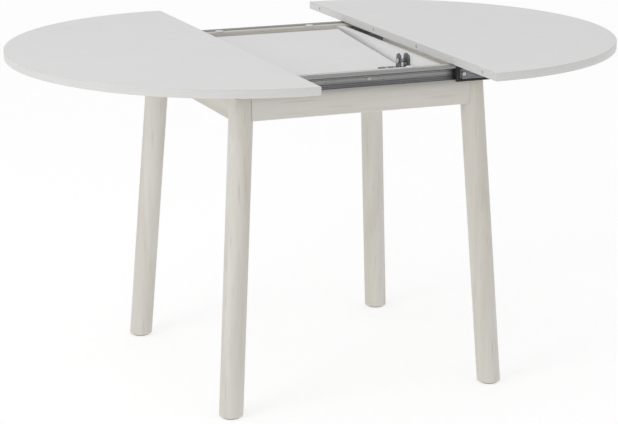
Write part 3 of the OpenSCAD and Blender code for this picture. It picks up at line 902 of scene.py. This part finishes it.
@dataclass
class ScrewHeads:
    """A set of pan-head screws with cross recesses, one for each solid of a CAD node."""

    node: str
    material: bpy.types.Material
    crown: float = 0.9 * MM
    recess: float = 1.1 * MM
    blade: float = 0.16
    reach: float = 0.58
    rings: int = 16
    sides: int = 48

    def one(self, triangles: Array) -> tuple[Array, list[list[int]]]:
        """Builds one screw where a CAD screw is.

        The head's face is a grid of radius r from 0 to 1 and angle. Its height is the crown times
        the root of 1 - 0.8 r squared, less the recess depth times a smooth step that is 1 inside
        either bar of the cross and falls to 0 beyond it. A skirt and a plain shank close the shape.

        Args:
            triangles: the CAD screw's triangles.

        Returns:
            Points and faces.
        """
        axis, top = flat_axis(triangles)
        points = triangles.reshape(-1, 3)
        along = points @ axis
        head = points[along > top - 0.1 * MM]
        middle = (head.min(0) + head.max(0)) / 2
        centre = middle + (top - middle @ axis) * axis
        off = points - np.outer(along, axis) - (centre - (centre @ axis) * axis)
        far = np.linalg.norm(off, axis=1)
        radius = float(far.max())
        under = float(along[far > 0.9 * radius].min())
        below = far[along < under - 0.2 * MM]
        shank = float(below.max()) if len(below) else 0.5 * radius
        side, other = cross_axes(axis)
        r = np.linspace(0.02, 1.0, self.rings)[:, None]
        angle = np.linspace(0.0, 2 * math.pi, self.sides, endpoint=False)[None, :]
        x, y = r * np.cos(angle), r * np.sin(angle)
        bar = np.maximum(soft_bar(x, y, self.blade, self.reach), soft_bar(y, x, self.blade, self.reach))
        rise = self.crown * (np.sqrt(1 - 0.8 * r ** 2) - math.sqrt(0.2)) - self.recess * bar
        face = centre + radius * (x[..., None] * side + y[..., None] * other) + rise[..., None] * axis
        heights = np.array([under - top, under - top, float(along.min()) - top])
        lower = round_rings(centre, axis, np.array([radius, shank, shank]), heights, self.sides)
        turned = np.concatenate([face, lower])
        return tube(turned)

    def build(self) -> bpy.types.Object:
        """Builds the whole set as one piece."""
        points, faces, count = [], [], 0
        for triangles, _ in node_solids(self.node):
            some, skin = self.one(triangles)
            points.append(some)
            faces.extend([[corner + count for corner in face] for face in skin])
            count += len(some)
        thing = mesh_object(self.node + "_crossed", np.concatenate(points), faces, [self.material],
                            sharp_deg=50.0)
        return stand_for(thing, self.node)


def soft_bar(across: Array, along: Array, half_width: float, half_length: float) -> Array:
    """1 inside a bar about the origin and 0 outside, with a smooth wall.

    The wall is a smooth step, 3 s squared less 2 s cubed, in the distance inside the bar's sides
    and ends.

    Args:
        across: place across the bar.
        along: place along the bar.
        half_width: half the bar's width.
        half_length: half the bar's length.

    Returns:
        Values from 0 to 1.
    """
    inside = np.minimum((half_width - np.abs(across)) / (0.5 * half_width),
                        (half_length - np.abs(along)) / half_width)
    s = np.clip(inside + 0.5, 0.0, 1.0)
    return s * s * (3 - 2 * s)


# ---------------------------------------------------------------- the table's assemblies


@dataclass
class LegFrame:
    """Four splayed round legs, the aprons between them and the steel that ties the corners."""

    finishes: Finishes
    leg_radius: float = 26.0 * MM
    foot_easing: float = 3.0 * MM
    flat_at: float = 290.0 * MM
    flat_from: float = 689.0 * MM
    leg_sides: int = 96
    leg_rings: int = 40

    def leg(self, node: str) -> bpy.types.Object:
        """Builds one leg from horizontal rings.

        The rings' centres move on the straight line between the leg's foot and its top, and each
        is the ellipse in which a level plane cuts a leaning cylinder: 1/cos(lean) longer along the
        lean. Near the floor the radius shrinks on a quarter circle. Above the rail's lower edge
        the outer side is planed flat.

        Args:
            node: the CAD leg.

        Returns:
            The leg.
        """
        low, high = (np.array(v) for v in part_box(node))
        middle = FRAME_MIDDLE
        outward = np.sign((low + high) / 2 - middle)[:2]
        foot = np.where(outward > 0, high[:2], low[:2]) - outward * self.leg_radius
        head = np.where(outward > 0, low[:2], high[:2]) + outward * self.leg_radius
        lean = foot - head
        tilt = math.atan2(float(np.linalg.norm(lean)), high[2] - low[2])
        lengthwise = lean / np.linalg.norm(lean)
        crosswise = np.array([-lengthwise[1], lengthwise[0]])
        turn = np.linspace(0.0, math.pi / 2, 7)
        ends = self.foot_easing * (1 - np.cos(turn))
        body = np.linspace(low[2] + self.foot_easing, high[2], self.leg_rings)
        z = np.sort(np.concatenate([low[2] + ends, body[1:], [self.flat_from - 0.05 * MM, self.flat_from]]))
        near_foot = np.clip((low[2] + self.foot_easing - z) / self.foot_easing, 0.0, 1.0)
        radius = self.leg_radius - self.foot_easing * (1 - np.sqrt(1 - near_foot ** 2))
        share = ((z - low[2]) / (high[2] - low[2]))[:, None]
        centre = foot + share * (head - foot)
        angle = np.linspace(0.0, 2 * math.pi, self.leg_sides, endpoint=False)
        ring = (np.cos(angle)[:, None] * lengthwise / math.cos(tilt) + np.sin(angle)[:, None] * crosswise)
        plan = centre[:, None, :] + radius[:, None, None] * ring
        planed = outward[1] * np.minimum(outward[1] * plan[..., 1], self.flat_at)
        plan[..., 1] = np.where(z[:, None] >= self.flat_from, planed, plan[..., 1])
        rings = np.concatenate([plan, np.broadcast_to(z[:, None, None], (*plan.shape[:2], 1))], axis=2)
        points, faces = tube(rings)
        return stand_for(mesh_object(node + "_turned", points, faces, [self.finishes.wood_upright]), node)

    def build(self) -> None:
        """Builds and dresses the whole frame."""
        for node in ("leg_front_left", "leg_front_right", "leg_back_left", "leg_back_right"):
            self.leg(node)
        for node in ("apron_front", "apron_back"):
            eased(node, self.finishes.wood_along_x, 1.2 * MM, 3)
        for node in ("apron_left", "apron_right"):
            eased(node, self.finishes.wood_along_y, 1.2 * MM, 3)
        eased("foot_glides", self.finishes.felt, 0.6 * MM)
        eased("corner_plates", self.finishes.bracket, 0.4 * MM)
        eased("leg_nuts", self.finishes.plate, 0.5 * MM)
        eased("leg_bolts", self.finishes.plate, 0.6 * MM)
        ScrewHeads("corner_screws", self.finishes.plate).build()


@dataclass
class Runners:
    """The fixed rails on the front and back aprons, with their guides, pads and screws."""

    finishes: Finishes
    sheet: float = 1.5 * MM
    lip: float = 5.0 * MM
    bend: float = 1.6 * MM
    race: float = 2.6 * MM
    race_height: float = 7.0 * MM
    race_lip: float = 2.0 * MM
    rib: float = 1.1 * MM
    rib_height: float = 12.0 * MM
    rib_half: float = 2.0 * MM
    hole_radius: float = 2.3 * MM
    hole_reach: float = 12.0 * MM
    hole_places: tuple[float, ...] = (-195.0, -90.0, 43.0, 195.0)

    def rail(self, node: str) -> bpy.types.Object:
        """Builds a rolled channel with a ball race beside each flange, two ribs and turned-in lips.

        Args:
            node: the CAD rail.

        Returns:
            The rail.
        """
        low, high = (np.array(v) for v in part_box(node))
        out = 1.0 if low[1] + high[1] > 0 else -1.0
        back, depth, height = (low[1] if out > 0 else -high[1]), high[1] - low[1], high[2] - low[2]
        half = self.sheet / 2
        race, rib = self.race_height, self.rib_height
        half_path = np.array([
            [depth - half, self.lip], [depth - half, half], [half + self.race, half],
            [half + self.race, race - self.race_lip], [half, race],
            [half, rib - self.rib_half], [half + self.rib, rib], [half, rib + self.rib_half]])
        other = half_path[::-1] * [1.0, -1.0] + [0.0, height]
        section = strip_section(np.concatenate([half_path, other]), self.sheet, self.bend)
        section = (section + [back, low[2]]) * [out, 1.0]
        points, faces = extrude_x(section, low[0], high[0])
        thing = mesh_object(node + "_rolled", points, faces, [self.finishes.rail], sharp_deg=40.0)
        centre_z = (low[2] + high[2]) / 2
        cut(thing, [cylinder_cutter(np.array([FRAME_MIDDLE[0] + x * MM, out * back, centre_z]),
                                    np.array([0.0, 1.0, 0.0]), self.hole_radius, self.hole_reach, 28)
                    for x in self.hole_places], 40.0)
        return stand_for(thing, node)

    def build(self) -> None:
        """Builds and dresses the runners' fixed parts."""
        self.rail("fixed_rail_front")
        self.rail("fixed_rail_back")
        eased("rail_guides", self.finishes.black, 0.3 * MM)
        eased("support_pads", self.finishes.white, 0.8 * MM, 3)
        ScrewHeads("rail_screws", self.finishes.plate).build()


@dataclass
class LeafCarriers:
    """The boards beside the stored leaf, their cleats and the frame's half of the leaf's pivots."""

    finishes: Finishes

    def build(self) -> None:
        """Builds and dresses both sides."""
        for side in Side:
            eased(f"carrier_board_{side.word}", self.finishes.laminate, 0.8 * MM)
            eased(f"pivot_bracket_{side.word}", self.finishes.bracket, 0.5 * MM)
        eased("carrier_cleats", self.finishes.timber, 1.0 * MM)
        eased("pivot_pins", self.finishes.plate, 0.5 * MM)
        ScrewHeads("cleat_screws", self.finishes.plate).build()
        ScrewHeads("pivot_bracket_screws", self.finishes.plate).build()


@dataclass
class TopHalf:
    """One half-round top with all that slides with it."""

    side: Side
    finishes: Finishes
    hole_radius: float = 4.1 * MM
    pin_radius: float = 3.81 * MM
    hole_depth: float = 20.0 * MM
    dowel_places: tuple[float, ...] = (-437.0, -116.0, 116.0, 437.0)

    def board(self) -> bpy.types.Object:
        """Builds the half-round board, with holes in its straight edge for the dowel pins."""
        node = f"top_{self.side.word}"
        low, high = (np.array(v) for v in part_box(node))
        size = high - low
        thing = Board(Outline.HALF_ROUND, size[0], size[1], size[2]).build(node + "_board", self.finishes)
        radius = self.hole_radius if self.side is Side.RIGHT else self.pin_radius
        cut(thing, [cylinder_cutter(np.array([0.0, y * MM, size[2] / 2]), np.array([1.0, 0.0, 0.0]), radius,
                                    2 * self.hole_depth) for y in self.dowel_places])
        straight = low[0] if self.side is Side.RIGHT else high[0]
        turn = Matrix.Diagonal((float(self.side.value), 1.0, 1.0, 1.0))
        place(thing, Matrix.Translation((straight, 0.0, low[2])) @ turn)
        return stand_for(thing, node)

    def build(self) -> None:
        """Builds the board and dresses the half's runners and fixings."""
        self.board()
        word = self.side.word
        eased(f"{word}_slides", self.finishes.bracket, 0.35 * MM)
        eased(f"{word}_angles", self.finishes.bracket, 0.5 * MM)
        eased(f"{word}_end_blocks", self.finishes.black, 0.5 * MM)
        ScrewHeads(f"{word}_angle_screws", self.finishes.plate).build()
        if self.side is Side.LEFT:
            eased("left_dowels", self.finishes.timber, 0.8 * MM, 3)


@dataclass
class FoldingLeaf:
    """The two leaf halves, folded face to face and upside down in the well."""

    finishes: Finishes
    gap: float = 2.0 * MM
    corner: float = 1.5 * MM
    overshoot: float = 1.0 * MM
    hole_radius: float = 4.1 * MM
    pin_radius: float = 3.81 * MM
    hole_depth: float = 14.0 * MM
    pin_depth: float = 20.0 * MM
    dowel_places: tuple[float, ...] = (116.0, 437.0)
    hinge_depth: float = 5.8 * MM
    hinge_length: float = 46.0 * MM
    hinge_height: float = 8.0 * MM

    def board(self, node: str) -> bpy.types.Object:
        """Builds one half as it lies when raised, on the -Y side, then folds it away.

        Args:
            node: the CAD leaf half.

        Returns:
            The board, where it is stored.
        """
        top_low, top_high = (np.array(v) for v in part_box("top_left"))
        low, high = (np.array(v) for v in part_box(node))
        width, length = high[0] - low[0], (top_high[1] - top_low[1]) / 2 - self.gap / 2
        thickness = top_high[2] - top_low[2]
        thing = Board(Outline.OBLONG, width, length, thickness, corner=self.corner).build(
            node + "_board", self.finishes)
        place(thing, Matrix.Translation((0.0, -self.gap / 2 - length / 2, top_low[2])))
        x_way, edge, middle_z = np.array([1.0, 0.0, 0.0]), width / 2, top_low[2] + thickness / 2
        cutters = []
        for y in self.dowel_places:
            cutters.append(cylinder_cutter(np.array([-edge, -y * MM, middle_z]), x_way, self.hole_radius,
                                           2 * self.hole_depth))
            cutters.append(cylinder_cutter(np.array([edge, -y * MM, middle_z]), x_way, self.pin_radius,
                                           2 * self.pin_depth))
        for sign in (-1.0, 1.0):
            inner, outer = sorted((sign * (edge - self.hinge_depth), sign * (edge + self.overshoot)))
            cutters.append(box_cutter(
                np.array([inner, -self.gap / 2 - self.hinge_length, top_high[2] - self.hinge_height]),
                np.array([outer, self.overshoot, top_high[2] + self.overshoot])))
        cut(thing, cutters)
        fold = Matrix.Identity(4)
        if node == "leaf_lower":
            seam = Matrix.Translation((0.0, 0.0, top_high[2] + self.gap / 2))
            over = seam @ Matrix.Rotation(math.pi, 4, "X") @ seam.inverted()
            fold = over @ Matrix.Diagonal((1.0, -1.0, 1.0, 1.0))
        place(thing, Matrix.Translation((FRAME_MIDDLE[0], 0.0, 0.0)) @ stored_turn() @ fold)
        return stand_for(thing, node)

    def build(self) -> None:
        """Builds both halves and dresses their hardware."""
        self.board("leaf_upper")
        self.board("leaf_lower")
        for node in ("leaf_strap_left", "leaf_strap_right"):
            eased(node, self.finishes.bracket, 0.5 * MM)
        for node in ("upper_dowels", "lower_dowels"):
            eased(node, self.finishes.timber, 0.8 * MM, 3)
        for node in ("upper_hinge_plates", "lower_hinge_plates", "hinge_links"):
            eased(node, self.finishes.brass, 0.25 * MM)
        ScrewHeads("strap_screws", self.finishes.plate).build()
        for node in ("hinge_screws_upper", "hinge_screws_lower"):
            ScrewHeads(node, self.finishes.brass, crown=0.3 * MM, recess=0.6 * MM, sides=32).build()


def stored_turn() -> Matrix:
    """The turn about the leaf's pivot that takes the raised leaf down to its stored place."""
    pivot = next(joint for joint in frame["joints"] if joint["name"] == "leaf_flip")
    there = Matrix.Translation(Vector(pivot["pos_m"]))
    return there @ Matrix.Rotation(-math.radians(pivot["range_deg"][1]), 4, "X") @ there.inverted()


# ---------------------------------------------------------------- studio


@dataclass
class Studio:
    """A pale floor, soft lights and the camera."""

    camera_at: tuple[float, float, float] = (-1.801237, -4.285587, 1.57021)
    yaw: float = 0.395455
    pitch: float = 0.257538
    roll: float = 0.005031
    lens: float = 122.646
    floor_size: float = 60.0
    floor_colour: Colour = (0.5, 0.5, 0.5)
    floor_glow: float = 0.57
    overhead: float = 0.88
    horizon: float = 0.54
    key_at: tuple[float, float, float] = (-4.0, -1.6, 2.2)
    key_size: float = 2.4
    key_watts: float = 46.0

    def floor(self) -> None:
        """Lays the floor, which glows a little so that it stays pale."""
        half = self.floor_size / 2
        corners = np.array([[-half, -half, 0.0], [half, -half, 0.0], [half, half, 0.0], [-half, half, 0.0]])
        paint = Shader("floor", self.floor_colour, 0.9)
        paint.shader.inputs["Emission Color"].default_value = (1.0, 1.0, 1.0, 1.0)
        paint.shader.inputs["Emission Strength"].default_value = self.floor_glow
        mesh_object("floor", corners, [[0, 1, 2, 3]], [paint.material])

    def light(self, name: str, at: tuple[float, float, float], size: float, watts: float) -> None:
        """Hangs one soft square light that faces the table.

        Args:
            name: the light's name.
            at: its place.
            size: its side.
            watts: its power.
        """
        data = bpy.data.lights.new(name, "AREA")
        data.shape, data.size, data.energy = "SQUARE", size, watts
        lamp = bpy.data.objects.new(name, data)
        bpy.context.scene.collection.objects.link(lamp)
        lamp.location = at
        lamp.rotation_euler = (Vector((0.0, 0.0, 0.5)) - Vector(at)).to_track_quat("-Z", "Y").to_euler()

    def camera(self) -> None:
        """Sets up the camera, turned by yaw and pitch and then rolled about its own view."""
        ahead = Vector((math.sin(self.yaw) * math.cos(self.pitch), math.cos(self.yaw) * math.cos(self.pitch),
                        -math.sin(self.pitch)))
        level = Vector((math.cos(self.yaw), -math.sin(self.yaw), 0.0))
        up = level.cross(ahead)
        right = math.cos(self.roll) * level + math.sin(self.roll) * up
        above = math.cos(self.roll) * up - math.sin(self.roll) * level
        turn = Matrix((right, above, -ahead)).transposed().to_4x4()
        data = bpy.data.cameras.new("camera")
        data.lens, data.sensor_width, data.clip_end = self.lens, 36.0, 200.0
        camera = bpy.data.objects.new("camera", data)
        bpy.context.scene.collection.objects.link(camera)
        camera.matrix_world = Matrix.Translation(self.camera_at) @ turn
        bpy.context.scene.camera = camera

    def build(self) -> None:
        """Sets the whole studio up: the sky goes from bright overhead to dimmer at the horizon."""
        bpy.context.scene.view_settings.view_transform = "Standard"
        world = bpy.data.worlds.new("studio")
        bpy.context.scene.world = world
        world.use_nodes = True
        nodes, links = world.node_tree.nodes, world.node_tree.links
        ahead, split, rise = (nodes.new(kind) for kind in (
            "ShaderNodeTexCoord", "ShaderNodeSeparateXYZ", "ShaderNodeMapRange"))
        rise.inputs["To Min"].default_value, rise.inputs["To Max"].default_value = self.horizon, self.overhead
        links.new(ahead.outputs["Generated"], split.inputs["Vector"])
        links.new(split.outputs["Z"], rise.inputs["Value"])
        links.new(rise.outputs["Result"], nodes["Background"].inputs["Strength"])
        nodes["Background"].inputs["Color"].default_value = (1.0, 1.0, 1.0, 1.0)
        self.camera()
        self.floor()
        self.light("key_light", self.key_at, self.key_size, self.key_watts)


APRON_LOW, APRON_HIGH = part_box("apron_front")
FRAME_MIDDLE = np.array([(APRON_LOW.x + APRON_HIGH.x) / 2, 0.0, 0.0])


def main() -> None:
    """Builds the studio and every assembly of the table."""
    logging.basicConfig(level=logging.INFO, format="%(name)s: %(message)s")
    Studio().build()
    finishes = Finishes()
    LegFrame(finishes).build()
    Runners(finishes).build()
    LeafCarriers(finishes).build()
    for side in Side:
        TopHalf(side, finishes).build()
    FoldingLeaf(finishes).build()


if __name__ == "__main__":
    main()
